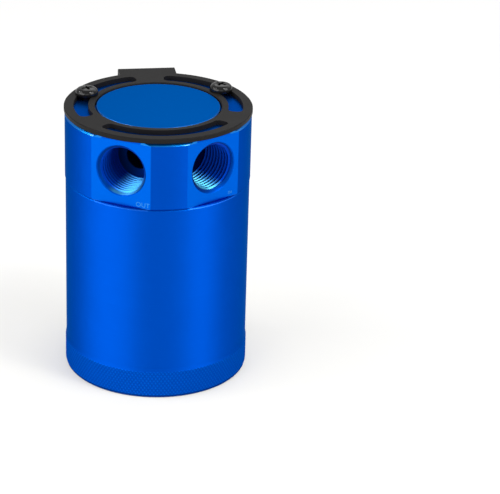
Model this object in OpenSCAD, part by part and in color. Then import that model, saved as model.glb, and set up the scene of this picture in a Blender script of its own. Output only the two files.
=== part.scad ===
// Baffled two-port oil catch can, millimetres.
// Origin: centre of the base on the surface it stands on. +Z up, the ports look towards -Y.

/* [Reservoir] */
// Outside diameter of the reservoir
can_d = 76; // [72:1:100]
// Height of the reservoir, from its foot to its rim
can_h = 84.5; // [80:0.5:140]
// Wall of the reservoir below its thread
can_wall = 3.6; // [3.4:0.1:4]
// Wall of the reservoir round its thread
mouth_wall = 2; // [1.6:0.1:2.2]
// Thickness of the reservoir's base
base_t = 10; // [9:0.5:14]
// Width of the foot ring that the can stands on
foot_w = 5.4; // [3:0.2:10]
// Height of the foot ring
foot_h = 0.8; // [0.4:0.1:1.2]
// Chamfer at the foot
foot_chamfer = 0.4; // [0.2:0.1:0.9]
// Chamfer round the reservoir's rim
rim_chamfer = 0.6; // [0.2:0.1:1]
// Fillet between the floor and the wall inside
floor_fillet = 3; // [1:0.5:6]
// Top of the knurled band above the foot
knurl_top = 12; // [8:0.5:20]
// Bottom of the knurled band above the foot
knurl_bottom = 1.2; // [1:0.1:3]
// How far the knurled band stands out of the wall
knurl_raise = 0.15; // [0.05:0.05:0.3]

/* [Head] */
// Height of the head between the reservoir's rim and the bracket
head_h = 28.5; // [27.5:0.5:36]
// How far the head stands out past the reservoir
head_over = 0.25; // [0:0.05:0.5]
// Chamfer round the head's top edge
head_chamfer = 1.2; // [0.5:0.1:1.8]
// Edge break on both sides of the seam
seam_break = 0.3; // [0.1:0.1:0.5]
// Height of the centre boss
boss_h = 1.6; // [1.2:0.1:2.4]
// Edge break round the boss
boss_break = 0.3; // [0.1:0.1:0.5]
// Length of the threaded skirt that enters the reservoir
skirt_h = 9.4; // [8:0.2:12]
// Wall of the skirt
skirt_wall = 5; // [4:0.1:6]
// Depth of the hollow's roof below the seam
roof_drop = 2; // [1:0.5:3]

/* [Ports] */
// Angle between the two ports
port_spread = 62; // [62:1:76]
// Depth of the flats below the head's round
flat_cut = 2.25; // [1.8:0.05:3]
// Height of the port centres above the seam
port_rise = 14.7; // [13:0.1:15.2]
// Major diameter of the port threads
port_d = 21; // [16:0.5:21]
// Depth of the port threads
port_depth = 17.5; // [14:0.5:17.5]
// Chamfer at the port mouths
port_chamfer = 0.4; // [0.2:0.1:0.8]
// Diameter of the drilled passages behind the threads
passage_d = 11; // [8:0.5:12]
// Diameter of the outlet chamber on the can's axis
chamber_d = 14; // [10:0.5:15]
// Height of the outlet chamber's roof above the port centres
chamber_rise = 8; // [7:0.5:10]
// Depth of the inlet's blind end behind its thread
blind_depth = 3; // [1:0.5:4]

/* [Bracket] */
// Sheet thickness of the bracket
bracket_t = 2; // [1.5:0.1:3]
// How far the ring stands out past the head
ring_over = 0.3; // [0:0.05:1]
// Radial gap between the boss and the ring
boss_gap = 0.5; // [0.2:0.1:0.8]
// Width of the curved slots
slot_w = 6; // [5.6:0.1:6.4]
// Metal left outside the slots
slot_edge = 3.95; // [3.2:0.05:4.2]
// Metal left inside the slots
ring_web = 2.7; // [2:0.1:6]
// Angle from end to end of a slot
slot_span = 98.4; // [80:0.2:104]
// Corner radius at the slot ends
slot_corner = 2.2; // [0.6:0.1:2.6]
// Broken edge of the sheet
sheet_break = 0.35; // [0.1:0.05:0.6]
// Width of the tab and the leg
tab_w = 24; // [16:0.5:28]
// Gap between the head and the leg
leg_gap = 5.8; // [4:0.1:12]
// Inside radius of the bend
bend_r = 1; // [0.5:0.1:3]
// Height of the bracket from its ring's top to the end of the leg
leg_h = 56; // [46:1:80]
// Corner radius at the leg's end
leg_corner = 3; // [1:0.5:5]
// Diameter of the fixing holes
fix_d = 5.5; // [4:0.1:6.5]
// Distance between the fixing holes
fix_pitch = 25; // [12:1:28]
// Distance from the lower fixing hole to the leg's end
fix_edge = 9; // [7:0.5:12]

/* [Bracket screws] */
// Thread diameter of the bracket screws
screw_d = 5; // [4:0.5:5]
// Length of the screws under their heads
screw_l = 12; // [8:1:14]
// Diameter of the screw heads
screw_head_d = 9.4; // [9:0.1:10.4]
// Height of the screw heads
screw_head_h = 2.8; // [2:0.1:3.6]
// Angle of each bracket screw from the front
screw_angle = 118; // [110:1:130]
// Thread left below the screw's end
tap_extra = 2; // [1:0.5:3]

/* [Thread fits] */
// Radial clearance of a screwed joint
thread_clear = 0.05; // [0.02:0.01:0.1]
// Plain gap between the baffles and the wall
baffle_gap = 0.4; // [0.3:0.1:0.8]

/* [Seal] */
// Gap on each side of the seal in its seat
seal_side = 0.05; // [0.02:0.01:0.2]

/* [Baffles] */
// Thickness of the perforated plates
plate_t = 2; // [1:0.5:3]
// Diameter of the holes in the plates
perf_d = 3; // [2:0.2:4]
// Distance between the rings of holes
perf_pitch = 5.6; // [5:0.2:8]
// Metal left round the posts, the tube and the edge
perf_edge = 1.2; // [0.8:0.1:2]
// Height of the space above the upper plate
upper_space = 26; // [25:0.5:30]
// Thickness of the mesh pad
pad_t = 10; // [6:0.5:14]
// Outside diameter of the spacers
spacer_d = 7; // [6:0.5:7.5]
// Gap between the spacers and the skirt
spacer_gap = 1.4; // [0.6:0.1:3]
// Diameter of the baffle screws
post_d = 4; // [3:0.5:4]
// Length of the baffle screws in the head
post_grip = 8; // [6:0.5:9]
// Diameter of the baffle screw heads
post_head_d = 7; // [6:0.5:7.5]
// Height of the baffle screw heads
post_head_h = 3; // [2:0.1:4]
// Width across the flats of the baffle screws' sockets
post_socket_af = 3; // [2:0.5:3.5]
// Depth of the baffle screws' sockets
post_socket_h = 1.5; // [1:0.1:1.8]
// Radial clearance of plain holes
plain_clear = 0.15; // [0.1:0.05:0.4]

/* [Inlet tube] */
// Outside diameter of the drop tube
tube_d = 11; // [8:0.5:11]
// Wall of the drop tube
tube_wall = 1.2; // [0.8:0.1:2]
// Gap between the drop tube and the skirt
tube_gap = 3.4; // [2:0.1:4]
// Length of the tube in the head
tube_grip = 4; // [3:0.5:4.5]
// How far the tube reaches below the lower plate
tube_reach = 8; // [4:0.5:14]
// Slant of the tube's lower end
tube_slant = 30; // [0:5:45]

/* [Filter] */
// Thread diameter of the filter's base
nipple_d = 16.6; // [15.6:0.2:17]
// Length of the filter's thread
nipple_l = 8; // [6:0.5:8.5]
// Width across the flats of the filter's base
nipple_af = 20; // [19:0.5:21]
// Height of the hexagon
nipple_hex_h = 5; // [4:0.5:6]
// Bore of the filter's base
nipple_bore = 10; // [8:0.5:11]
// Outside diameter of the filter element
element_d = 18; // [17:0.5:19]
// Length of the filter element
element_l = 17; // [12:0.5:19]
// Wall of the filter element
element_wall = 2.2; // [1.8:0.1:2.6]
// Length of the spigot that carries the element
spigot_l = 3; // [2:0.5:4]

/* [Drain] */
// Thread diameter of the drain plug
drain_d = 10; // [9:0.5:12]
// Diameter of the plug's flange
flange_d = 17; // [15.5:0.5:20]
// Thickness of the plug's flange
flange_t = 3; // [2:0.1:3.2]
// Thickness of the drain seal
drain_seal_t = 1; // [0.6:0.1:1.2]
// Width of the drain seal
drain_seal_w = 2.3; // [1.5:0.1:2.6]
// Gap between the flange and its pocket
pocket_gap = 1.2; // [0.6:0.1:3]
// Width across the flats of the plug's socket
socket_af = 6; // [5:0.5:6.5]
// Depth of the plug's socket
socket_h = 4.6; // [3:0.1:5]

/* [Hidden] */
$fn = 96;
eps = 0.01;
drill_extra = 1;

blue = "#0a50d2";
black = "#2b2b2a";
steel = "#b9bcc0";
rubber = "#161616";
brass = "#c9a548";
bronze = "#a8743a";

can_r = can_d / 2;
bore_r = can_r - can_wall;
thread_r = can_r - mouth_wall;
head_r = can_r + head_over;
flat_y = head_r - flat_cut;
skirt_r = thread_r - thread_clear;
hollow_r = skirt_r - skirt_wall;
seal_t = thread_r - bore_r - 2 * seal_side;
mouth_h = skirt_h + seal_t;
shoulder_z = can_h - mouth_h;
roof_z = can_h - roof_drop;
deck_z = can_h + head_h;
port_z = can_h + port_rise;
port_r = port_d / 2;
passage_r = passage_d / 2;
chamber_r = chamber_d / 2;
half_spread = port_spread / 2;

ring_r = head_r + ring_over;
slot_r = ring_r - slot_edge - slot_w / 2;
ring_hole_r = slot_r - slot_w / 2 - ring_web;
boss_r = ring_hole_r - boss_gap;
ring_z = deck_z + bracket_t;
leg_y = head_r + leg_gap;

spacer_r = spacer_d / 2;
post_r = post_d / 2;
post_circle = hollow_r - spacer_gap - spacer_r;
post_angles = [-60, 60, 180];
tube_r = tube_d / 2;
tube_circle = hollow_r - tube_gap - tube_r;
upper_z = roof_z - upper_space;
pad_z = upper_z - plate_t - pad_t;
lower_z = pad_z - plate_t;
baffle_r = bore_r - baffle_gap;

nipple_r = nipple_d / 2;
spigot_r = element_d / 2 - element_wall - thread_clear;
element_z = roof_z - nipple_hex_h;

drain_r = drain_d / 2;
flange_r = flange_d / 2;
pocket_z = foot_h + flange_t + drain_seal_t;
drain_seal_in = drain_r + plain_clear;

// Point on a circle round the can's axis, at an angle from the front
function round_can(r, angle, z = 0) = [r * sin(angle), -r * cos(angle), z];

module at(r, angle, z = 0) {
    translate(round_can(r, angle, z)) rotate([0, 0, angle]) children();
}

module tube(outer, inner, h, z = 0) {
    translate([0, 0, z]) rotate_extrude() translate([inner, 0]) square([outer - inner, h]);
}

// Cylinder that lies along the direction from the front at an angle, from one radius to another
module radial_bore(r, from, to, angle, z) {
    rotate([0, 0, angle]) translate([0, -from, z]) rotate([90, 0, 0]) cylinder(r = r, h = to - from);
}

module hexagon(af) {
    circle(r = af / sqrt(3), $fn = 6);
}

// The reservoir: one turned cup, its thread left as plain walls at the major diameter
module reservoir() {
    color(blue) difference() {
        rotate_extrude($fn = 180) difference() {
            reservoir_outline();
            reservoir_inside();
        }
        translate([0, 0, -eps]) cylinder(r = flange_r + pocket_gap, h = pocket_z + eps);
        cylinder(r = drain_r, h = base_t + eps);
        translate([0, 0, pocket_z - eps])
            cylinder(r1 = drain_r + seam_break, r2 = drain_r, h = seam_break + eps);
    }
}

module reservoir_outline() {
    polygon([
        [0, foot_h], [can_r - foot_w - foot_h, foot_h], [can_r - foot_w, 0], [can_r - foot_chamfer, 0],
        [can_r, foot_chamfer], [can_r, knurl_bottom - knurl_raise / 2],
        [can_r + knurl_raise, knurl_bottom + knurl_raise / 2],
        [can_r + knurl_raise, knurl_top - knurl_raise], [can_r, knurl_top],
        [can_r, can_h - rim_chamfer], [can_r - rim_chamfer, can_h], [0, can_h]
    ]);
}

module reservoir_inside() {
    difference() {
        translate([0, base_t]) square([bore_r, can_h]);
        difference() {
            translate([bore_r - floor_fillet, base_t]) square(floor_fillet);
            translate([bore_r - floor_fillet, base_t + floor_fillet]) circle(r = floor_fillet);
        }
    }
    translate([0, shoulder_z]) square([thread_r, can_h]);
    polygon([[thread_r - eps, can_h - seam_break], [thread_r, can_h - seam_break],
        [thread_r + seam_break, can_h + eps], [thread_r - eps, can_h + eps]]);
}

module reservoir_seal() {
    color(rubber) translate([0, 0, shoulder_z + seal_t / 2])
        rotate_extrude() translate([(bore_r + thread_r) / 2, 0]) circle(r = seal_t / 2, $fn = 24);
}

// The head: one block with two flats, two tapped ports and the passages behind them
module head() {
    color(blue) difference() {
        rotate_extrude($fn = 180) head_outline();
        for (side = [-1, 1]) port_cut(side * half_spread);
        outlet_passage(-half_spread);
        inlet_passage(half_spread);
        for (side = [-1, 1]) at(slot_r, side * screw_angle, deck_z - screw_l + bracket_t - tap_extra)
            cylinder(r = screw_d / 2, h = screw_l + tap_extra);
        for (angle = post_angles) at(post_circle, angle, roof_z - eps)
            cylinder(r = post_r, h = post_grip + drill_extra);
    }
}

module head_outline() {
    polygon([
        [0, roof_z], [hollow_r, roof_z], [hollow_r, can_h - skirt_h], [skirt_r - seam_break, can_h - skirt_h],
        [skirt_r, can_h - skirt_h + seam_break], [skirt_r, can_h], [head_r - seam_break, can_h],
        [head_r, can_h + seam_break], [head_r, deck_z - head_chamfer], [head_r - head_chamfer, deck_z],
        [boss_r, deck_z], [boss_r, deck_z + boss_h - boss_break],
        [boss_r - boss_break, deck_z + boss_h], [0, deck_z + boss_h]
    ]);
}

module port_cut(angle) {
    rotate([0, 0, angle]) translate([-head_r, -flat_y - head_r, can_h]) cube([2 * head_r, head_r, 2 * head_h]);
    radial_bore(port_r, flat_y - port_depth, flat_y + drill_extra, angle, port_z);
    rotate([0, 0, angle]) translate([0, -flat_y - eps, port_z]) rotate([-90, 0, 0])
        cylinder(r1 = port_r + port_chamfer + eps, r2 = port_r, h = port_chamfer + eps);
}

// The outlet runs on to a chamber on the can's axis, which the filter closes from below
module outlet_passage(angle) {
    radial_bore(passage_r, 0, flat_y - port_depth + eps, angle, port_z);
    translate([0, 0, roof_z - eps]) cylinder(r = nipple_r, h = nipple_l + drill_extra);
    translate([0, 0, roof_z]) cylinder(r = chamber_r, h = port_z + chamber_rise - roof_z);
}

// The inlet turns down behind its thread into the bore that holds the drop tube
module inlet_passage(angle) {
    radial_bore(passage_r, flat_y - port_depth - blind_depth, flat_y - port_depth + eps, angle, port_z);
    at(tube_circle, angle, roof_z - eps) cylinder(r = tube_r, h = port_z - roof_z);
}

module inlet_tube() {
    bottom = lower_z - tube_reach;
    color(steel) at(tube_circle, half_spread) difference() {
        tube(tube_r - thread_clear, tube_r - tube_wall, roof_z + tube_grip - bottom, bottom);
        translate([0, 0, bottom]) rotate([-tube_slant, 0, 0]) translate([-tube_d, -2 * tube_d, -2 * tube_d])
            cube([2 * tube_d, 4 * tube_d, 2 * tube_d - tube_wall]);
    }
}

// Brass nipple: thread, hexagon and the spigot that carries the element
module filter_base() {
    color(brass) translate([0, 0, element_z]) difference() {
        union() {
            translate([0, 0, nipple_hex_h - eps])
                cylinder(r = nipple_r - thread_clear, h = nipple_l + eps);
            linear_extrude(nipple_hex_h) hexagon(nipple_af);
            translate([0, 0, -spigot_l]) cylinder(r = spigot_r, h = spigot_l + eps);
        }
        translate([0, 0, -spigot_l - eps])
            cylinder(r = nipple_bore / 2, h = spigot_l + nipple_hex_h + nipple_l + 3 * eps);
    }
}

// Sintered cup, open at the top and rounded at the bottom
module filter_element() {
    outer = element_d / 2;
    nose = element_wall;
    color(bronze) translate([0, 0, element_z - element_l]) rotate_extrude() difference() {
        union() {
            translate([0, nose]) square([outer, element_l - nose]);
            square([outer - nose, nose + eps]);
            translate([outer - nose, nose]) circle(r = nose, $fn = 32);
        }
        translate([0, element_wall]) square([outer - element_wall, element_l]);
        translate([-2 * outer, 0]) square([2 * outer, element_l]);
    }
}

// Holes on rings, as many as fit each ring, left out where a post or the tube stands
function perf_points() = [
    for (ring = [1 : floor((baffle_r - perf_edge - perf_d / 2) / perf_pitch)])
        let (r = ring * perf_pitch, n = floor(2 * PI * r / perf_pitch))
            for (i = [0 : n - 1])
                let (p = round_can(r, 360 * i / n), edge = perf_d / 2 + perf_edge)
                    if (norm(p - round_can(tube_circle, half_spread)) > tube_r + edge
                        && min([for (a = post_angles) norm(p - round_can(post_circle, a))]) > spacer_r + edge) p
];

module plate_holes(post_hole_r) {
    for (angle = post_angles) at(post_circle, angle) circle(r = post_hole_r);
    at(tube_circle, half_spread) circle(r = tube_r + plain_clear);
}

module baffle_plate(z) {
    color(steel) translate([0, 0, z]) linear_extrude(plate_t) difference() {
        circle(r = baffle_r, $fn = 180);
        plate_holes(post_r + plain_clear);
        for (p = perf_points()) translate([p[0], p[1]]) circle(r = perf_d / 2, $fn = 24);
    }
}

module upper_baffle() {
    baffle_plate(upper_z - plate_t);
}

module lower_baffle() {
    baffle_plate(lower_z);
}

module mesh_pad() {
    color("#8d9094") translate([0, 0, pad_z]) linear_extrude(pad_t) difference() {
        circle(r = baffle_r - baffle_gap);
        plate_holes(spacer_r + plain_clear);
    }
}

module long_spacer(i) {
    color(steel) at(post_circle, post_angles[i]) tube(spacer_r, post_r + plain_clear, upper_space, upper_z);
}

module short_spacer(i) {
    color(steel) at(post_circle, post_angles[i]) tube(spacer_r, post_r + plain_clear, pad_t, pad_z);
}

// Cap screw from below, through both plates and both spacers into the head
module baffle_screw(i) {
    color(steel) at(post_circle, post_angles[i], lower_z) difference() {
        union() {
            translate([0, 0, -eps]) cylinder(r = post_r - thread_clear, h = roof_z - lower_z + post_grip + eps);
            translate([0, 0, -post_head_h]) cylinder(r = post_head_d / 2, h = post_head_h);
        }
        translate([0, 0, -post_head_h - eps]) linear_extrude(post_socket_h + eps) hexagon(post_socket_af);
    }
}

// The bracket: one piece of sheet, its ring slotted and its tab bent down behind the can
module bracket() {
    color(black) difference() {
        union() {
            ring_blank();
            tab_blank();
        }
        translate([0, 0, deck_z - eps]) for (a = [0, 120, -120]) rotate([0, 0, a])
            linear_extrude(bracket_t + 2 * eps) slot_outline();
        for (k = [0, 1]) translate([0, leg_y - eps, ring_z - leg_h + fix_edge + k * fix_pitch])
            rotate([-90, 0, 0]) cylinder(r = fix_d / 2, h = bracket_t + 2 * eps);
    }
}

module ring_blank() {
    b = sheet_break;
    translate([0, 0, deck_z]) rotate_extrude($fn = 180) polygon([
        [ring_hole_r, 0], [ring_r - b, 0], [ring_r, b], [ring_r, bracket_t - b], [ring_r - b, bracket_t],
        [ring_hole_r + b, bracket_t], [ring_hole_r, bracket_t - b]
    ]);
}

module tab_blank() {
    outer = bend_r + bracket_t;
    bend_y = leg_y - bend_r;
    tab_root = ring_hole_r + 2 * sheet_break;
    translate([-tab_w / 2, tab_root, deck_z]) cube([tab_w, bend_y - tab_root + eps, bracket_t]);
    translate([-tab_w / 2, bend_y, deck_z - bend_r]) rotate([90, 0, 90]) linear_extrude(tab_w) difference() {
        circle(r = outer);
        circle(r = bend_r);
        translate([-2 * outer, -2 * outer]) square([2 * outer, 4 * outer]);
        translate([-2 * outer, -2 * outer]) square([4 * outer, 2 * outer]);
    }
    translate([0, leg_y + bracket_t, ring_z - leg_h]) rotate([90, 0, 0]) linear_extrude(bracket_t) leg_outline();
}

module leg_outline() {
    h = leg_h - bracket_t - bend_r + eps;
    translate([-tab_w / 2, leg_corner]) square([tab_w, h - leg_corner]);
    translate([-tab_w / 2 + leg_corner, 0]) square([tab_w - 2 * leg_corner, leg_corner + eps]);
    for (side = [-1, 1]) translate([side * (tab_w / 2 - leg_corner), leg_corner]) circle(r = leg_corner);
}

// Part of a ring between two radii, up to an angle each side of the front
module ring_part(inner, outer, half) {
    far = 2 * ring_r;
    intersection() {
        difference() {
            circle(r = outer, $fn = 180);
            circle(r = inner, $fn = 180);
        }
        polygon([[0, 0], [-far * sin(half), -far * cos(half)], [far * sin(half), -far * cos(half)]]);
    }
}

// Curved slot with flat ends and rounded corners, centred on the front
module slot_outline() {
    half = slot_span / 2;
    inner = slot_r - slot_w / 2 + slot_corner;
    outer = slot_r + slot_w / 2 - slot_corner;
    inner_half = half - asin(slot_corner / inner);
    outer_half = half - asin(slot_corner / outer);
    ring_part(inner, outer, half);
    ring_part(inner - slot_corner, inner + eps, inner_half);
    ring_part(outer - eps, outer + slot_corner, outer_half);
    for (side = [-1, 1]) {
        translate(round_can(inner, side * inner_half)) circle(r = slot_corner, $fn = 32);
        translate(round_can(outer, side * outer_half)) circle(r = slot_corner, $fn = 32);
    }
}

// Pan head screw with a crowned top
module bracket_screw(side) {
    crown = screw_head_h / 2;
    color(black) at(slot_r, side * screw_angle, ring_z) rotate_extrude() polygon(concat(
        [[0, -screw_l], [screw_d / 2 - thread_clear - seam_break, -screw_l],
            [screw_d / 2 - thread_clear, -screw_l + seam_break], [screw_d / 2 - thread_clear, 0],
            [screw_head_d / 2, 0]],
        [for (a = [0 : 15 : 90]) [screw_head_d / 2 - crown + crown * cos(a), crown + crown * sin(a)]],
        [[0, screw_head_h]]));
}

module drain_plug() {
    color(black) difference() {
        union() {
            translate([0, 0, foot_h]) cylinder(r = flange_r, h = flange_t);
            translate([0, 0, foot_h]) cylinder(r = drain_r - thread_clear, h = base_t - foot_h);
        }
        translate([0, 0, foot_h - eps]) linear_extrude(socket_h + eps) hexagon(socket_af);
    }
}

module drain_seal() {
    color(steel) tube(drain_seal_in + drain_seal_w, drain_seal_in, drain_seal_t, foot_h + flange_t);
}

head();
reservoir();
reservoir_seal();
bracket();
bracket_screw(-1);  // bracket_screw_left
bracket_screw(1);  // bracket_screw_right
inlet_tube();
filter_base();
filter_element();
upper_baffle();
lower_baffle();
mesh_pad();
long_spacer(0);  // long_spacer_1
long_spacer(1);  // long_spacer_2
long_spacer(2);  // long_spacer_3
short_spacer(0);  // short_spacer_1
short_spacer(1);  // short_spacer_2
short_spacer(2);  // short_spacer_3
baffle_screw(0);  // baffle_screw_1
baffle_screw(1);  // baffle_screw_2
baffle_screw(2);  // baffle_screw_3
drain_plug();
drain_seal();
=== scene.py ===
import bmesh
import bpy
import math
from mathutils import Matrix, Vector


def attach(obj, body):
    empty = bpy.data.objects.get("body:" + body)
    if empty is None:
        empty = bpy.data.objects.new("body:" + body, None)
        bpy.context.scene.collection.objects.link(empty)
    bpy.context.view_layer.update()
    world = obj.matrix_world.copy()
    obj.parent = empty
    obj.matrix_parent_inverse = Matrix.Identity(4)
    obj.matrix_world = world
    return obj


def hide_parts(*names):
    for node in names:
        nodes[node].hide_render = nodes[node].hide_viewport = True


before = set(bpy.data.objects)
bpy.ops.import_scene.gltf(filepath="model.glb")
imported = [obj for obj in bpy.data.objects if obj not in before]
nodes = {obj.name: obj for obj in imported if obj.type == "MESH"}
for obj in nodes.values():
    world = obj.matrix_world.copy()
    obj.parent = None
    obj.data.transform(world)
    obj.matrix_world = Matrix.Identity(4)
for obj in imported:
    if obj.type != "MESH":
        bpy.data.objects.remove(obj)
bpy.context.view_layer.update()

mm = 0.001
near = 0.01 * mm               # close enough, when parts of a mesh are picked by their place
straight = 0.9999              # cosine from which a face counts as facing a way
weld = 0.002 * mm              # points closer than this become one
onCut = 1e-8                   # points closer than this to a level cut lie on it
past = 0.2                     # millimetres that a cutter goes past what it cuts

# The two ports, as in the solids: degrees from the front, height, and the flats' distance from the axis
ports = {"angle": 31.0, "height": 99.2, "flat": 36.0}


# Camera, at the photograph's place, worked out from the can's circles and sides
camera = {
    "focal": 2243.4 / 500,     # focal length over the picture's width
    "distance": 0.8574,        # from the can's axis, level
    "height": 0.4412,
    "side": 7.0,               # degrees that the ports look to the right of the camera
    "yaw": 2.61,
    "pitch": 24.41,
    "roll": -1.72,
    "sensor": 36.0,
    "nearest": 0.01,           # what is closer than this doesn't show
}


def placeCamera(c):
    side, yaw = math.radians(-c["side"]), math.radians(c["yaw"])
    pitch, roll = math.radians(c["pitch"]), math.radians(c["roll"])
    forward = Vector((math.sin(yaw) * math.cos(pitch), math.cos(yaw) * math.cos(pitch), -math.sin(pitch)))
    right = Vector((math.cos(yaw), -math.sin(yaw), 0))
    down = forward.cross(right)
    rolledRight = math.cos(roll) * right + math.sin(roll) * down
    rolledDown = math.cos(roll) * down - math.sin(roll) * right
    turn = Matrix.Rotation(side, 4, "Z")
    basis = Matrix((rolledRight, -rolledDown, -forward)).transposed().to_4x4()
    bpy.ops.object.camera_add()
    cam = bpy.context.object
    cam.name = "photoCamera"
    cam.matrix_world = turn @ Matrix.Translation((0, -c["distance"], c["height"])) @ basis
    cam.data.sensor_width = c["sensor"]
    cam.data.lens = c["focal"] * c["sensor"]
    cam.data.clip_start = c["nearest"]
    bpy.context.scene.camera = cam


placeCamera(camera)
print("camera placed")


# Shader sockets as numbers in Python expressions
class Sock:
    def __init__(self, mat, socket):
        self.mat = mat
        self.socket = socket

    def __add__(self, other):
        return self.mat.math("ADD", self, other)

    def __radd__(self, other):
        return self.mat.math("ADD", other, self)

    def __sub__(self, other):
        return self.mat.math("SUBTRACT", self, other)

    def __rsub__(self, other):
        return self.mat.math("SUBTRACT", other, self)

    def __mul__(self, other):
        return self.mat.math("MULTIPLY", self, other)

    def __rmul__(self, other):
        return self.mat.math("MULTIPLY", other, self)

    def __gt__(self, other):
        return self.mat.math("GREATER_THAN", self, other)

    def __lt__(self, other):
        return self.mat.math("LESS_THAN", self, other)


# A material and the nodes in it; in set and second, a shader input's spaces are written as _
class Finish:
    def __init__(self, name, preview):
        self.data = bpy.data.materials.new(name)
        self.data.use_nodes = True
        self.data.diffuse_color = (*preview, 1)
        self.tree = self.data.node_tree
        self.shader = self.tree.nodes["Principled BSDF"]
        self.place = self.node("ShaderNodeTexCoord", {}, "Object")

    def link(self, value, socket):
        if isinstance(value, Sock):
            self.tree.links.new(value.socket, socket)
        elif hasattr(value, "__len__") and len(value) == 3 and socket.type == "RGBA":
            socket.default_value = (*value, 1)
        else:
            socket.default_value = value

    def node(self, kind, inputs, output=0, **settings):
        made = self.tree.nodes.new(kind)
        for key, value in settings.items():
            setattr(made, key, value)
        for key, value in inputs.items():
            self.link(value, made.inputs[key])
        return Sock(self, made.outputs[output])

    def math(self, operation, *values):
        return self.node("ShaderNodeMath", dict(enumerate(values)), operation=operation)

    def split(self, vector):
        first = self.node("ShaderNodeSeparateXYZ", {"Vector": vector})
        return [Sock(self, part) for part in first.socket.node.outputs]

    def ramp(self, value, low, high):
        return self.node("ShaderNodeMapRange", {"Value": value, "From Min": low, "From Max": high})

    def noise(self, scale, detail=2.0, stretch=(1, 1, 1)):
        where = self.node("ShaderNodeMapping", {"Vector": self.place, "Scale": stretch})
        return self.node("ShaderNodeTexNoise", {"Vector": where, "Scale": scale, "Detail": detail}, "Fac")

    def mixColor(self, amount, a, b):
        return self.node("ShaderNodeMix", {0: amount, 6: a, 7: b}, 2, data_type="RGBA")

    def bump(self, height, depth, strength=1.0):
        values = {"Height": height, "Distance": depth, "Strength": strength}
        return self.node("ShaderNodeBump", values, "Normal")

    def set(self, **values):
        for key, value in values.items():
            self.link(value, self.shader.inputs[key.replace("_", " ")])
        return self.data

    def second(self, **values):
        return self.node("ShaderNodeBsdfPrincipled", {key.replace("_", " "): v for key, v in values.items()})

    def blend(self, amount, over):
        own = Sock(self, self.shader.outputs[0])
        mixed = self.node("ShaderNodeMixShader", {0: amount, 1: own, 2: over})
        self.link(mixed, self.tree.nodes["Material Output"].inputs["Surface"])


# How far a point lies out in the direction of the port on its side
def alongPort(m, x, y):
    angle = math.radians(ports["angle"])
    return m.math("ABSOLUTE", x) * math.sin(angle) - y * math.cos(angle)


# 1 where a length lies between two others in millimetres, and 0 elsewhere
def between(value, low, high):
    return (value > low * mm) * (value < high * mm)


# Blue anodised aluminium; lengths are in millimetres, from the can's axis or above its base
anodised = {
    "color": (0.0, 0.088, 0.58), "deep": (0.0, 0.080, 0.54), "cloudScale": 90.0,    # slightly uneven dye
    "grainScale": 2600.0, "grainDepth": 0.000003, "grainShade": 0.06,
    "grainStretch": (0.02, 0.02, 1),    # turned walls have their grain round the axis
    "turnedRoughness": 0.6, "turnedTint": (0.22, 0.52, 0.42),
    "spread": 0.8, "spreadTurn": 0.25,  # that grain stretches highlights up and down
    "milledRoughness": 0.42, "milledTint": (0.0, 0.36, 0.40),
    "milledAbove": 112.9, "deckShade": (0.0, 0.085, 0.42),    # the deck, under the ring, is painted darker: painted shade; the deck and the boss are milled
    "bossAbove": 114.0, "bossColor": (0.0, 0.125, 0.485),
    "flatFrom": 35.97, "flatAbove": 84.5, "flatColor": (0.0, 0.115, 0.67),    # and so are the two flats
    "boreFrom": 35.6, "boreShade": (0.0, 0.03, 0.21),           # nearer the axis, the head's walls are bores, painted dark: painted shade inside them
    "footBelow": 1.25, "footFrom": 37.2, "footShadow": (0.0, 0.04, 0.27),      # the foot's edge, painted dark: a painted contact shadow
    "rimTo": 37.75, "rimAbove": 84.1, "rimBelow": 84.6,         # the reservoir's rim under the flats, painted dark: painted shade, with a painted highlight along its edge
    "rimShade": (0.0, 0.035, 0.27), "rimEdgeHighlight": (0.012, 0.125, 0.66),
    # the seam's groove is painted in a colour that sets how dark its line looks: painted light over its shade
    "seamFrom": 37.3, "seamAbove": 83.85, "seamBelow": 84.79, "seamLight": (0.0, 0.095, 0.52),
    "chamferFrom": 37.0, "chamferAbove": 111.75,                # the head's upper chamfer, painted a paler cyan so that its glint shows: a painted sheen
    "chamferSheen": (0.0, 0.19, 0.66), "chamferRoughness": 0.34,
    "bossEdgeFrom": 25.0, "bossEdgeAbove": 114.25,              # the break round the boss
    "edgePolish": 0.3, "edgeShine": 0.1,                        # a clear polish on both catches the light
}


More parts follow.
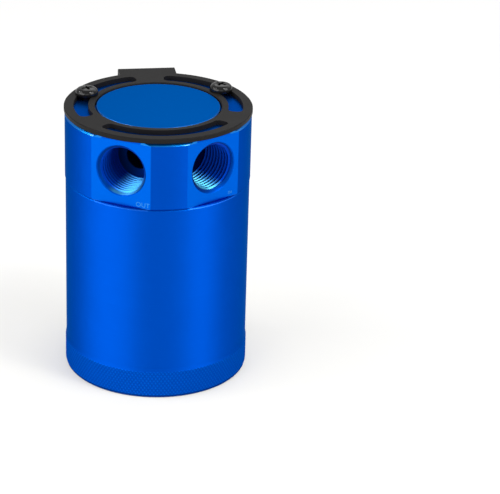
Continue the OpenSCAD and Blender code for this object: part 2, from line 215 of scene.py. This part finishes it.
def anodisedFinish(a, name):
    m = Finish(name, a["color"])
    x, y, z = m.split(m.place)
    fromAxis = m.math("SQRT", x * x + y * y)
    grain = m.noise(a["grainScale"], stretch=a["grainStretch"])
    speck = m.noise(a["grainScale"])
    dye = m.mixColor(m.noise(a["cloudScale"], detail=3), a["color"], a["deep"])
    turned = m.set(
        Base_Color=dye, Metallic=1.0, Specular_Tint=a["turnedTint"],
        Anisotropic=a["spread"], Anisotropic_Rotation=a["spreadTurn"],
        Roughness=a["turnedRoughness"] + a["grainShade"] * (grain - 0.5),
        Normal=m.bump(grain, a["grainDepth"]))

    deck = z > a["milledAbove"] * mm
    inside = between(z, a["flatAbove"], a["milledAbove"]) * (fromAxis < a["boreFrom"] * mm)
    chamfer = between(z, a["chamferAbove"], a["milledAbove"]) * (fromAxis > a["chamferFrom"] * mm)
    bossEdge = (z > a["bossEdgeAbove"] * mm) * (fromAxis > a["bossEdgeFrom"] * mm)
    edge = m.math("MAXIMUM", chamfer, bossEdge)
    foot = (z < a["footBelow"] * mm) * (fromAxis > a["footFrom"] * mm)
    beyond = alongPort(m, x, y) > a["flatFrom"] * mm
    rim = beyond * between(z, a["rimAbove"], a["rimBelow"]) * (fromAxis < a["rimTo"] * mm)
    seam = between(z, a["seamAbove"], a["seamBelow"]) * (fromAxis > a["seamFrom"] * mm) * (1 - rim)
    flat = beyond * (z > a["flatAbove"] * mm) * (1 - m.math("MAXIMUM", rim, seam))

    # Painted light and shade over the dye: shade on the deck, the foot's edge, the bores and the rim under
    # the flats, a highlight along that rim's edge, light in the seam's groove, and a sheen on the chamfer;
    # the boss and the flats have colours of their own
    surface = dye
    for mask, color in (
            (deck, a["deckShade"]), (foot, a["footShadow"]), (z > a["bossAbove"] * mm, a["bossColor"]),
            (inside, a["boreShade"]), (seam, m.mixColor(beyond, a["seamLight"], a["rimEdgeHighlight"])),
            (rim, a["rimShade"]), (flat * (z < a["chamferAbove"] * mm), a["flatColor"]),
            (chamfer, a["chamferSheen"])):
        surface = m.mixColor(mask, surface, color)
    smoother = a["milledRoughness"] - a["chamferRoughness"]
    milled = m.second(
        Base_Color=surface, Metallic=1.0, Specular_Tint=a["milledTint"],
        Roughness=a["milledRoughness"] - smoother * chamfer + a["grainShade"] * (speck - 0.5),
        Coat_Weight=a["edgePolish"] * edge, Coat_Roughness=a["edgeShine"],
        Normal=m.bump(speck, a["grainDepth"]))
    cut = deck
    for mask in (flat, inside, rim, seam, foot, edge):
        cut = m.math("MAXIMUM", cut, mask)
    m.blend(cut, milled)
    return turned


blueAnodised = anodisedFinish(anodised, "blueAnodised")


# Thread walls, with painted light: the lower ones, which face up, are painted paler and bright, as if lit,
# and the others are deep, as in shade
threadPaintedLight = {
    # walls that don't face up, painted dark: painted shade
    "deep": (0.0, 0.032, 0.37),
    "ribHighlight": (0.0, 0.056, 0.52), "ribFacing": 0.3,                # flanks that face out of the port, painted lighter: a painted highlight
    "far": (0.0, 0.012, 0.18), "farFrom": 32, "farTo": 24,      # the left port's walls, deep inside, painted darker: painted shade
    # the painted highlight on walls that face up, dimmer on the left and brighter on the right
    "highlightLeft": (0.030, 0.19, 0.45), "highlightRight": (0.065, 0.36, 0.57), "sidesMeet": 8,
    "highlightFrom": 0.54, "highlightTo": 0.76,                           # how far a wall faces up before it is painted paler: painted light
    "lean": 0.6, "rightLean": 0.09,                             # outer walls count as facing up a bit more, for that painted light
    "coneFrom": 34.7, "coneShade": (0.0, 0.04, 0.27),           # the ports' mouths, painted dark where they don't face up: painted shade
    "roughness": 0.5, "polish": 0.3, "coneDull": 0.7,
}


def threadFinish(t, a, name):
    m = Finish(name, a["color"])
    speck = m.noise(a["grainScale"])
    x, y, z = m.split(m.place)
    nx, ny, nz = m.split(m.node("ShaderNodeTexCoord", {}, "Normal"))
    angle = math.radians(ports["angle"])
    ported = z > a["flatAbove"] * mm
    outer = nx * m.math("SIGN", x)
    # Painted light: how far each wall faces up, with the outer walls counting a bit more
    up = nz + t["lean"] * outer + t["rightLean"] * ported * (x > 0)
    litShare = m.ramp(up, t["highlightFrom"], t["highlightTo"])
    reach = alongPort(m, x, y)
    cone = (reach > t["coneFrom"] * mm) * ported
    outward = outer * math.sin(angle) - ny * math.cos(angle)
    # Flanks facing out of the port get a painted highlight, and the left port's far walls painted shade
    deep = m.mixColor((outward > t["ribFacing"]) * ported, t["deep"], t["ribHighlight"])
    far = m.ramp(reach, t["farFrom"] * mm, t["farTo"] * mm)
    deep = m.mixColor(far * ported * (x < 0), deep, t["far"])
    # The painted highlight's colour, from the left port's to the right port's
    wallHighlight = m.mixColor(m.ramp(x, -t["sidesMeet"] * mm, t["sidesMeet"] * mm), t["highlightLeft"], t["highlightRight"])
    wall = m.mixColor(litShare, deep, wallHighlight)
    bright = litShare * (1 - cone * (x > 0))
    # The mouths' cones are painted dark, with the painted highlight where the left port's cone faces up
    mouth = m.mixColor(bright * bright, t["coneShade"], wallHighlight)
    polish = t["polish"] * bright * (1 - t["coneDull"] * cone)
    return m.set(
        Base_Color=m.mixColor(cone, wall, mouth), Metallic=1.0,
        Roughness=t["roughness"] - polish + a["grainShade"] * speck, Normal=m.bump(speck, a["grainDepth"]))


blueThread = threadFinish(threadPaintedLight, anodised, "blueThread")

# Knurled band: the diamonds' tips are painted paler than the valleys between them: a painted highlight on the
# tips and painted shade in the valleys
knurlPaintedLight = {
    # the tips' painted highlight and the valleys' painted shade
    "tipHighlight": (0.0, 0.105, 0.58), "valley": (0.0, 0.06, 0.43),
    "valleyTo": 38.18, "tipFrom": 38.36,    # from the axis
    "roughness": 0.46, "grainShade": 0.08,
}


def knurlFinish(k, a, name):
    m = Finish(name, a["color"])
    speck = m.noise(a["grainScale"])
    x, y = m.split(m.place)[:2]
    fromAxis = m.math("SQRT", x * x + y * y)
    tipHighlight = m.ramp(fromAxis, k["valleyTo"] * mm, k["tipFrom"] * mm)
    return m.set(
        Base_Color=m.mixColor(tipHighlight, k["valley"], k["tipHighlight"]), Metallic=1.0, Specular_Tint=a["turnedTint"],
        Roughness=k["roughness"] + k["grainShade"] * speck, Normal=m.bump(speck, a["grainDepth"]))


blueKnurl = knurlFinish(knurlPaintedLight, anodised, "blueKnurl")

markDye = {"color": (0.06, 0.36, 0.90), "deep": (0.030, 0.19, 0.45), "roughness": 0.5, "grainShade": 0.1}


def engravedFinish(k, a, name):
    m = Finish(name, k["color"])
    speck = m.noise(a["grainScale"])
    return m.set(
        Base_Color=m.mixColor(speck, k["color"], k["deep"]), Metallic=1.0,
        Roughness=k["roughness"] + k["grainShade"] * speck, Normal=m.bump(speck, a["grainDepth"]))


engraved = engravedFinish(markDye, anodised, "engravedMark")

# Black coats and rubber, faintly clouded and dimpled
coat = {
    "cloudScale": 120, "cloudShade": 1.3, "cloudRough": 0.12,
    "dimpleScale": 900.0, "dimpleDepth": 0.00002, "dimpleStrength": 0.6,
}


def coatFinish(c, name, color, roughness, shine):
    m = Finish(name, color)
    clouds = m.noise(c["cloudScale"], detail=3)
    dimples = m.noise(c["dimpleScale"])
    return m.set(
        Base_Color=m.mixColor(clouds, color, tuple(c["cloudShade"] * part for part in color)),
        Roughness=roughness + c["cloudRough"] * (clouds - 0.5), Specular_IOR_Level=shine,
        Normal=m.bump(dimples, c["dimpleDepth"], c["dimpleStrength"]))


coated = coatFinish(coat, "blackCoat", color=(0.009, 0.0085, 0.0085), roughness=0.5, shine=0.08)
blackSteel = coatFinish(coat, "blackSteel", color=(0.004, 0.004, 0.004), roughness=0.09, shine=0.3)
rubber = coatFinish(coat, "sealRubber", color=(0.012, 0.012, 0.012), roughness=0.6, shine=0.3)

# Bare metals
bare = {"cloudScale": 110, "cloudShade": 0.82, "cloudRough": 0.06, "grainRough": 0.12, "grainDepth": 0.000008}


def plainMetal(b, name, color, roughness, grainScale, stretch):
    m = Finish(name, color)
    grain = m.noise(grainScale, detail=3, stretch=stretch)
    clouds = m.noise(b["cloudScale"], detail=3)
    return m.set(
        Base_Color=m.mixColor(clouds, color, tuple(b["cloudShade"] * part for part in color)), Metallic=1.0,
        Roughness=roughness + b["grainRough"] * (grain - 0.5) + b["cloudRough"] * (clouds - 0.5),
        Normal=m.bump(grain, b["grainDepth"]))


bareAluminium = plainMetal(bare, "bareAluminium", color=(0.72, 0.73, 0.75), roughness=0.32,
                           grainScale=2200, stretch=(0.05, 0.05, 1))
brightSteel = plainMetal(bare, "brightSteel", color=(0.62, 0.62, 0.63), roughness=0.25,
                         grainScale=1500, stretch=(1, 1, 1))
turnedBrass = plainMetal(bare, "turnedBrass", color=(0.78, 0.6, 0.28), roughness=0.28,
                         grainScale=2200, stretch=(0.05, 0.05, 1))

knit = {
    # the gaps between the wires are painted dark: painted shade
    "wire": (0.55, 0.55, 0.56), "gap": (0.06, 0.06, 0.065),
    "wires": 260.0,            # a wave every 1.2 mm
    "waver": 3.0, "wireFrom": 0.55, "wireTo": 0.95,
    "roughness": 0.55, "polish": 0.25, "depth": 0.0004,
}


# Knitted wire: three sets of wavering wires, with painted shade in the gaps between them
def knitFinish(k, name):
    m = Finish(name, k["wire"])
    wave = {"Vector": m.place, "Scale": k["wires"], "Distortion": k["waver"], "Detail": 2.0}
    sets = [m.node("ShaderNodeTexWave", wave, "Fac", wave_type="BANDS", bands_direction=way)
            for way in ("X", "Y", "DIAGONAL")]
    wires = m.math("MAXIMUM", m.math("MAXIMUM", sets[0], sets[1]), sets[2])
    proud = m.ramp(wires, k["wireFrom"], k["wireTo"])
    return m.set(
        Base_Color=m.mixColor(proud, k["gap"], k["wire"]), Metallic=1.0,
        Roughness=k["roughness"] - k["polish"] * proud, Normal=m.bump(proud, k["depth"]))


wireMesh = knitFinish(knit, "wireMesh")

sinter = {
    "color": (0.55, 0.36, 0.2), "cloudScale": 150, "cloudShade": 0.75,
    "joint": (0.2, 0.12, 0.06), "jointFrom": 0.35, "jointTo": 0.75,
    "grains": 1900.0, "depth": 0.00015, "roughness": 0.45, "jointRough": 0.3,
}


# Sintered bronze: round grains fused together
def sinterFinish(k, name):
    m = Finish(name, k["color"])
    distance = m.node("ShaderNodeTexVoronoi", {"Vector": m.place, "Scale": k["grains"]}, "Distance")
    joint = m.ramp(distance, k["jointFrom"], k["jointTo"])
    clouds = m.noise(k["cloudScale"], detail=3)
    grains = m.mixColor(clouds, k["color"], tuple(k["cloudShade"] * part for part in k["color"]))
    return m.set(
        Base_Color=m.mixColor(joint, grains, k["joint"]), Metallic=1.0,
        Roughness=k["roughness"] + k["jointRough"] * joint, Normal=m.bump(1 - joint, k["depth"]))


sinteredBronze = sinterFinish(sinter, "sinteredBronze")

# What each solid is finished in
dressing = {
    "head": blueAnodised, "reservoir": blueAnodised, "bracket": coated,
    "bracket_screw_left": blackSteel, "bracket_screw_right": blackSteel,
    "drain_plug": blackSteel, "drain_seal": bareAluminium, "reservoir_seal": rubber,
    "inlet_tube": bareAluminium, "filter_base": turnedBrass, "filter_element": sinteredBronze,
    "upper_baffle": bareAluminium, "lower_baffle": bareAluminium, "mesh_pad": wireMesh,
}
for i in (1, 2, 3):
    dressing["long_spacer_%d" % i] = bareAluminium
    dressing["short_spacer_%d" % i] = bareAluminium
    dressing["baffle_screw_%d" % i] = brightSteel
for name, finish in dressing.items():
    slots = nodes[name].data.materials
    slots.clear()
    slots.append(finish)
print("finishes set")


def deselect():
    if bpy.context.object and bpy.context.object.mode != "OBJECT":
        bpy.ops.object.mode_set(mode="OBJECT")
    bpy.ops.object.select_all(action="DESELECT")


def pick(piece):
    deselect()
    piece.select_set(True)
    bpy.context.view_layer.objects.active = piece


def openForEdit(piece):
    pick(piece)
    bpy.ops.object.mode_set(mode="EDIT")


# Select what passes a test: kind is "verts", "edges" or "faces"
def choose(piece, kind, test):
    bpy.ops.mesh.select_mode(type={"verts": "VERT", "edges": "EDGE", "faces": "FACE"}[kind])
    bpy.ops.mesh.select_all(action="DESELECT")
    mesh = bmesh.from_edit_mesh(piece.data)
    for part in getattr(mesh, kind):
        if test(part):
            part.select_set(True)
    mesh.select_flush_mode()
    bmesh.update_edit_mesh(piece.data)


def modify(piece, kind, **settings):
    pick(piece)
    mod = piece.modifiers.new(kind, kind)
    for key, value in settings.items():
        setattr(mod, key, value)
    bpy.ops.object.modifier_apply(modifier=mod.name)


def cutWith(piece, cutter, operation="DIFFERENCE"):
    modify(piece, "BOOLEAN", operation=operation, object=cutter, solver="EXACT")
    bpy.data.objects.remove(cutter)


def settle(piece, name, finish, smooth=35):
    pick(piece)
    piece.name = name
    bpy.ops.object.transform_apply(location=True, rotation=True, scale=True)
    piece.data.materials.clear()
    piece.data.materials.append(finish)
    bpy.ops.object.mode_set(mode="EDIT")
    bpy.ops.mesh.select_all(action="SELECT")
    bpy.ops.mesh.remove_doubles(threshold=weld)
    bpy.ops.mesh.normals_make_consistent(inside=False)
    bpy.ops.mesh.select_all(action="DESELECT")
    bpy.ops.object.mode_set(mode="OBJECT")
    bpy.ops.object.shade_smooth_by_angle(angle=math.radians(smooth))
    return piece


# A separate copy with its own mesh
def another(piece, name):
    copy = piece.copy()
    copy.data = piece.data.copy()
    copy.name = name
    bpy.context.collection.objects.link(copy)
    return copy


# Move and turn a finished mesh, so that its object stays at the origin
def put(piece, place, turns=()):
    move = Matrix.Translation([v * mm for v in place])
    for angle, axis in turns:
        move = move @ Matrix.Rotation(math.radians(angle), 4, axis)
    piece.data.transform(move)
    piece.data.update()
    return piece


# A chain of edges through (radius, height) points in millimetres
def chain(points):
    deselect()
    bpy.ops.mesh.primitive_plane_add(size=2)
    line = bpy.context.object
    bpy.ops.object.mode_set(mode="EDIT")
    choose(line, "verts", lambda v: v.index > 0)
    bpy.ops.mesh.delete(type="VERT")
    choose(line, "verts", lambda v: True)
    at = Vector((-1, -1, 0))   # the plane's first corner
    for i, (radius, height) in enumerate(points):
        target = Vector((radius * mm, 0, height * mm))
        if i:
            bpy.ops.mesh.extrude_vertices_move(TRANSFORM_OT_translate={"value": target - at})
        else:
            bpy.ops.transform.translate(value=target - at)
        at = target
    bpy.ops.object.mode_set(mode="OBJECT")
    return line


# A rod with a screw thread from z = 0 up, closed at both ends; crest and root are shares of the pitch.
# The thread starts one and a half turns below and ends above, and both ends are cut off level
def threadRod(major, minor, pitch, length, steps, crest=0.125, root=0.25):
    flank = (1 - crest - root) / 2
    profile = [(minor, 0), (major, flank), (major, flank + crest), (minor, 2 * flank + crest), (minor, 1)]
    rod = chain([(radius, (rise - 1.5) * pitch) for radius, rise in profile])
    modify(rod, "SCREW", axis="Z", screw_offset=pitch * mm, iterations=math.ceil(length / pitch) + 3,
           steps=steps, render_steps=steps)
    openForEdit(rod)
    bpy.ops.mesh.select_all(action="SELECT")
    bpy.ops.mesh.remove_doubles(threshold=weld)
    for height, below in ((0, True), (length, False)):
        bpy.ops.mesh.select_all(action="SELECT")
        bpy.ops.mesh.bisect(plane_co=(0, 0, height * mm), plane_no=(0, 0, 1), use_fill=True, threshold=onCut,
                            clear_inner=below, clear_outer=not below)
    bpy.ops.mesh.select_all(action="SELECT")
    bpy.ops.mesh.normals_make_consistent(inside=False)
    bpy.ops.object.mode_set(mode="OBJECT")
    return rod


# A disc, or with a top radius of its own a cone, between two heights
def disc(radius, low, high, sides, top=None):
    deselect()
    bpy.ops.mesh.primitive_cone_add(
        vertices=sides, radius1=radius * mm, radius2=(radius if top is None else top) * mm,
        depth=(high - low) * mm, location=(0, 0, (low + high) / 2 * mm))
    bpy.ops.object.transform_apply(location=True)
    return bpy.context.object


# Half-inch pipe threads in the two ports
port = {
    "major": 10.478, "minor": 9.316, "pitch": 1.814,
    "outside": 10.49,
    "from": 0.4, "to": 17.4,   # depth below the flat
    "mouth": 1.2,              # depth of the mouth's cone
    "spare": 2,                # the cutting rod's extra length
    "sides": 128, "steps": 80, "smooth": 50,
}


def portThread(p):
    length = p["to"] - p["from"]
    sleeve = disc(p["outside"], 0, length, p["sides"])
    cutWith(sleeve, threadRod(p["major"], p["minor"], p["pitch"], length + p["spare"], p["steps"]))
    cutWith(sleeve, disc(p["minor"], length - p["mouth"], length + past, p["sides"], p["outside"] + past))
    return sleeve


thread = portThread(port)
for name, side in (("outletThread", -1), ("inletThread", 1)):
    sleeve = another(thread, name)
    turn = math.radians(side * ports["angle"])
    reach = ports["flat"] - port["to"]
    put(sleeve, (reach * math.sin(turn), -reach * math.cos(turn), ports["height"]),
        ((side * ports["angle"], "Z"), (90, "X")))
    settle(sleeve, name, blueThread, port["smooth"])
    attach(sleeve, "head")
bpy.data.objects.remove(thread)
print("port threads made")


# Diamond knurl round the foot
knurl = {
    "around": 160, "rows": 5,  # diamonds round the foot, and up
    "low": 1.2, "high": 12.0,
    "valley": 38.17,
    "height": 0.2,
    "back": 38.03,
    "runOut": 1.6,             # the band's upper end slopes down to the wall
    "smooth": 5,
}


# Where an edge's two ends are, to find it again after the mesh has changed
def ends(edge):
    return tuple(sorted(tuple(round(c, 6) for c in v.co) for v in edge.verts))


def knurledBand(k):
    deselect()
    middle = (k["low"] + k["high"]) / 2 * mm
    bpy.ops.mesh.primitive_cylinder_add(
        vertices=k["around"], radius=k["valley"] * mm, end_fill_type="NOTHING",
        depth=(k["high"] - k["low"]) * mm, location=(0, 0, middle))
    band = bpy.context.object
    bpy.ops.object.transform_apply(location=True)
    openForEdit(band)
    choose(band, "edges", lambda e: abs(e.verts[0].co.z - e.verts[1].co.z) > near)
    bpy.ops.mesh.subdivide(number_cuts=k["rows"] - 1)
    grid = {ends(e) for e in bmesh.from_edit_mesh(band.data).edges if not e.is_boundary}
    bpy.ops.mesh.select_all(action="SELECT")
    bpy.ops.mesh.poke(offset=0)
    choose(band, "edges", lambda e: ends(e) in grid)
    bpy.ops.mesh.dissolve_edges(use_verts=False)
    bpy.ops.mesh.select_all(action="SELECT")
    bpy.ops.mesh.normals_make_consistent(inside=False)
    bpy.ops.mesh.poke(offset=k["height"] * mm)
    shrink = k["back"] / k["valley"]
    choose(band, "edges", lambda e: e.is_boundary)
    bpy.ops.mesh.extrude_edges_move()
    bpy.ops.transform.resize(value=(shrink, shrink, 1), center_override=(0, 0, middle))
    bpy.ops.mesh.bridge_edge_loops()
    inner = (k["back"] + k["valley"]) / 2 * mm
    choose(band, "verts", lambda v: v.co.z > k["high"] * mm - near and v.co.xy.length < inner)
    bpy.ops.transform.translate(value=(0, 0, k["runOut"] * mm))
    bpy.ops.object.mode_set(mode="OBJECT")
    return band


band = settle(knurledBand(knurl), "knurlBand", blueKnurl, knurl["smooth"])
band.data.materials.append(blueAnodised)
for face in band.data.polygons:
    if face.center.z > knurl["high"] * mm:
        face.material_index = 1
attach(band, "reservoir")
print("knurl made, faces", len(band.data.polygons))


# The bracket's two pan head screws
panScrew = {
    "headWidth": 9.4, "headHeight": 2.68,
    "dome": 0.1, "domeInset": 0.9,
    "edge": 1.9, "edgeSteps": 7,    # rounding of the head's upper edge
    "underEdge": 0.15, "underSteps": 2,
    "crossSpan": 5.2, "crossWidth": 1.3, "crossDepth": 2.4,
    "crossProud": 0.5,              # how much of that depth is above the head
    "crossTaper": 0.42,
    "major": 2.5, "minor": 2.0, "pitch": 0.8, "length": 12.0,
    "sunk": 0.3,                    # the shank's start inside the head
    "radius": 31.6, "angle": 118.0, "seat": 115.01,
    "sides": 64, "steps": 32,
}


def crossBit(s):
    deselect()
    bpy.ops.mesh.primitive_cube_add(size=1)
    bit = bpy.context.object
    bit.scale = (s["crossWidth"] * mm, s["crossWidth"] * mm, s["crossDepth"] * mm)
    bpy.ops.object.transform_apply(scale=True)
    openForEdit(bit)
    wing = (s["crossSpan"] - s["crossWidth"]) / 2 * mm
    for side in ((1, 0, 0), (-1, 0, 0), (0, 1, 0), (0, -1, 0)):
        way = Vector(side)
        face = way * s["crossWidth"] / 2 * mm
        choose(bit, "faces", lambda f: f.normal.dot(way) > straight
               and (f.calc_center_median() - face).length < near)
        bpy.ops.mesh.extrude_region_move(TRANSFORM_OT_translate={"value": way * wing})
    choose(bit, "faces", lambda f: f.normal.z < -straight)
    bpy.ops.transform.resize(value=(s["crossTaper"], s["crossTaper"], 1), center_override=(0, 0, 0))
    bpy.ops.object.mode_set(mode="OBJECT")
    return bit


def panHeadScrew(s):
    screw = disc(s["headWidth"] / 2, 0, s["headHeight"], s["sides"])
    openForEdit(screw)
    choose(screw, "edges", lambda e: min(v.co.z for v in e.verts) > s["headHeight"] * mm - near)
    bpy.ops.mesh.bevel(offset=s["edge"] * mm, segments=s["edgeSteps"], affect="EDGES", profile=0.5)
    choose(screw, "faces", lambda f: f.normal.z > straight)
    bpy.ops.mesh.inset(thickness=s["domeInset"] * mm, depth=s["dome"] * mm)
    choose(screw, "edges", lambda e: max(v.co.z for v in e.verts) < near)
    bpy.ops.mesh.bevel(offset=s["underEdge"] * mm, segments=s["underSteps"], affect="EDGES")
    bit = crossBit(s)
    put(bit, (0, 0, s["headHeight"] + s["crossProud"] - s["crossDepth"] / 2))
    cutWith(screw, bit)
    shank = threadRod(s["major"], s["minor"], s["pitch"], s["length"], s["steps"])
    put(shank, (0, 0, s["sunk"] - s["length"]))
    cutWith(screw, shank, "UNION")
    return screw


screw = panHeadScrew(panScrew)
for name, side, twist in (("bracketScrewLeft", -1, 20), ("bracketScrewRight", 1, 50)):
    copy = another(screw, name)
    turn = math.radians(side * panScrew["angle"])
    put(copy, (panScrew["radius"] * math.sin(turn), -panScrew["radius"] * math.cos(turn), panScrew["seat"]),
        ((twist, "Z"),))
    settle(copy, name, blackSteel)
    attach(copy, "head")
    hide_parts("bracket_screw_left" if side < 0 else "bracket_screw_right")
bpy.data.objects.remove(screw)
print("bracket screws made")


# The thread on the head's skirt, which shows when the reservoir is unscrewed
neckThread = {
    "major": 36.3, "minor": 35.97, "pitch": 1.5, "inside": 35.9, "low": 75.7, "high": 84.2,
    "spare": 1,                # the inner cutter's extra length at each end
    "steps": 144, "smooth": 50,
}


def headThread(n):
    length = n["high"] - n["low"]
    sleeve = threadRod(n["major"], n["minor"], n["pitch"], length, n["steps"])
    cutWith(sleeve, disc(n["inside"], -n["spare"], length + n["spare"], n["steps"]))
    return put(sleeve, (0, 0, n["low"]))


neck = settle(headThread(neckThread), "neckThread", blueThread, neckThread["smooth"])
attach(neck, "head")
print("neck thread made")


# The drain plug: a flanged plug with a hexagon socket
plug = {
    "flange": 8.5, "from": 0.8, "flangeTo": 3.8, "end": 10.0,
    "edge": 0.5, "edgeSteps": 4,
    "major": 4.95, "minor": 4.4, "pitch": 1.0,
    "sunk": 0.6,               # the shank's start inside the flange
    "socket": 6.0, "socketDepth": 4.6, "socketMouth": 0.5,
    "spare": 1,                # the socket cutter's extra length
    "sides": 96, "steps": 40,
}


def drainPlug(p):
    body = disc(p["flange"], p["from"], p["flangeTo"], p["sides"])
    openForEdit(body)
    choose(body, "edges", lambda e: abs(e.verts[0].co.z - e.verts[1].co.z) < near)
    bpy.ops.mesh.bevel(offset=p["edge"] * mm, segments=p["edgeSteps"], affect="EDGES")
    start = p["flangeTo"] - p["sunk"]
    shank = threadRod(p["major"], p["minor"], p["pitch"], p["end"] - start, p["steps"])
    cutWith(body, put(shank, (0, 0, start)), "UNION")
    corner = p["socket"] / math.sqrt(3)
    cutWith(body, disc(corner, p["from"] - p["spare"], p["from"] + p["socketDepth"], 6))
    cutWith(body, disc(corner + p["socketMouth"] + past, p["from"] - past, p["from"] + p["socketMouth"],
                       p["sides"], corner))
    return body


fitted = settle(drainPlug(plug), "drainPlug", blackSteel)
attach(fitted, "drain_plug")
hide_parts("drain_plug")
print("drain plug made")


# The bracket, with the softened edges of a coated plate
bracketEdge = {"radius": 0.35, "segments": 3, "angle": 50, "weld": 0.001, "flatWithin": 1}


def softBracket(b):
    plate = another(nodes["bracket"], "softBracket")
    openForEdit(plate)
    bpy.ops.mesh.select_all(action="SELECT")
    bpy.ops.mesh.remove_doubles(threshold=b["weld"] * mm)
    bpy.ops.mesh.dissolve_limited(angle_limit=math.radians(b["flatWithin"]))
    modify(plate, "BEVEL", width=b["radius"] * mm, segments=b["segments"], limit_method="ANGLE",
           angle_limit=math.radians(b["angle"]), harden_normals=False)
    return plate


plate = settle(softBracket(bracketEdge), "softBracket", coated)
modify(plate, "WEIGHTED_NORMAL", keep_sharp=True, weight=100)
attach(plate, "bracket")
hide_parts("bracket")
print("bracket made, faces", len(plate.data.polygons))


# Port marks: thin letters that lie on the flats and look engraved
mark = {
    # piece, word, side, distance along the flat, height, letters' height
    "words": (("outMark", "OUT", -1, 6.6, 85.25, 1.95), ("inMark", "IN", 1, 7.9, 85.7, 1.35)),
    "letter": 0.69,            # the letters' height as a share of the font's size
    "proud": 0.02,
    "spacing": 1.03,
    "curveSteps": 4,
}


def portMark(m, name, word, side, along, height, size):
    deselect()
    bpy.ops.object.text_add(location=(0, 0, 0))
    text = bpy.context.object
    text.data.body = word
    text.data.size = size / m["letter"] * mm
    text.data.space_character = m["spacing"]
    text.data.extrude = m["proud"] / 2 * mm
    text.data.resolution_u = m["curveSteps"]
    bpy.ops.object.convert(target="MESH")
    text = bpy.context.object
    turn = math.radians(side * ports["angle"])
    sine, cosine = math.sin(turn), math.cos(turn)
    reach = ports["flat"] + m["proud"] / 2
    put(text, (reach * sine + along * cosine, along * sine - reach * cosine, height),
        ((side * ports["angle"], "Z"), (90, "X")))
    settle(text, name, engraved)
    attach(text, "head")


for values in mark["words"]:
    portMark(mark, *values)
print("port marks made")


# Floor and light
studio = {
    "floorSize": 8, "floorColor": (0.775, 0.773, 0.765), "floorRoughness": 0.9, "floorShine": 0.2,
    "nearColor": (0.775, 0.76, 0.68), "nearTo": 0.15,      # makes up for the blue light off the can
    "floorGlow": 0.24, "farGlow": 0.42,    # how far the floor is washed out to white, as in a studio picture
    "glowFrom": 0.040, "glowTo": 0.062,    # metres from the can's axis
    "worldColor": (1, 1, 1, 1), "worldStrength": 0.62,
    "aim": (0, 0, 0.06), "distance": 1.2,  # all the lamps stand this far from the point that they face
    "lamps": [
        # azimuth from the front, elevation, width, height, watts
        ("leftBox", -58, 20, 1.1, 0.7, 9.2),
        ("leftStrip", -92, 22, 0.4, 0.7, 2.0),
        ("frontBox", -5, 18, 0.8, 0.5, 1.4),
        ("rightBox", 55, 40, 0.7, 0.8, 7.6),
        ("rightLow", 48, 18, 0.6, 0.5, 1.2),
        ("backBox", 145, 45, 1.3, 0.7, 2.8),
        ("topRight", 48, 61, 0.12, 0.18, 1.9),
        ("sideLeft", -108, 39, 0.14, 0.18, 1.3),
        ("bossLeft", -87, 54, 0.2, 0.12, 1.2),
    ],
}


# The wash towards white is for what looks at the floor or mirrors it, and lights nothing
def floorFinish(s, name):
    m = Finish(name, s["floorColor"])
    seen, glossy, through = (m.node("ShaderNodeLightPath", {}, "Is %s Ray" % kind)
                             for kind in ("Camera", "Glossy", "Transmission"))
    seen = m.math("MAXIMUM", seen, m.math("MAXIMUM", glossy, through))
    away = m.node("ShaderNodeVectorMath", {0: m.place}, "Value", operation="LENGTH")
    beside = m.ramp(away, s["nearTo"], s["glowFrom"])
    far = m.ramp(away, s["glowFrom"], s["glowTo"])
    finish = m.set(
        Base_Color=m.mixColor(beside, s["floorColor"], s["nearColor"]),
        Roughness=s["floorRoughness"], Specular_IOR_Level=s["floorShine"])
    glow = s["floorGlow"] + (s["farGlow"] - s["floorGlow"]) * far
    m.blend(seen * glow, m.node("ShaderNodeEmission", {}))
    return finish


def setStudio(s):
    deselect()
    bpy.ops.mesh.primitive_plane_add(size=s["floorSize"], location=(0, 0, 0))
    floor = bpy.context.object
    floor.name = "studioFloor"
    floor.data.materials.append(floorFinish(s, "studioFloor"))
    world = bpy.data.worlds.new("studio")
    world.use_nodes = True
    bpy.context.scene.world = world
    background = world.node_tree.nodes["Background"]
    background.inputs["Color"].default_value = s["worldColor"]
    background.inputs["Strength"].default_value = s["worldStrength"]
    aim = Vector(s["aim"])
    for name, azimuth, elevation, width, height, power in s["lamps"]:
        a, e = math.radians(azimuth), math.radians(elevation)
        way = Vector((math.sin(a) * math.cos(e), -math.cos(a) * math.cos(e), math.sin(e)))
        bpy.ops.object.light_add(type="AREA", location=aim + s["distance"] * way)
        lamp = bpy.context.object
        lamp.name = name
        lamp.rotation_euler = (-way).to_track_quat("-Z", "Y").to_euler()
        lamp.data.shape = "RECTANGLE"
        lamp.data.size = width
        lamp.data.size_y = height
        lamp.data.energy = power


setStudio(studio)
bpy.context.scene.view_settings.view_transform = "Standard"
print("studio set")
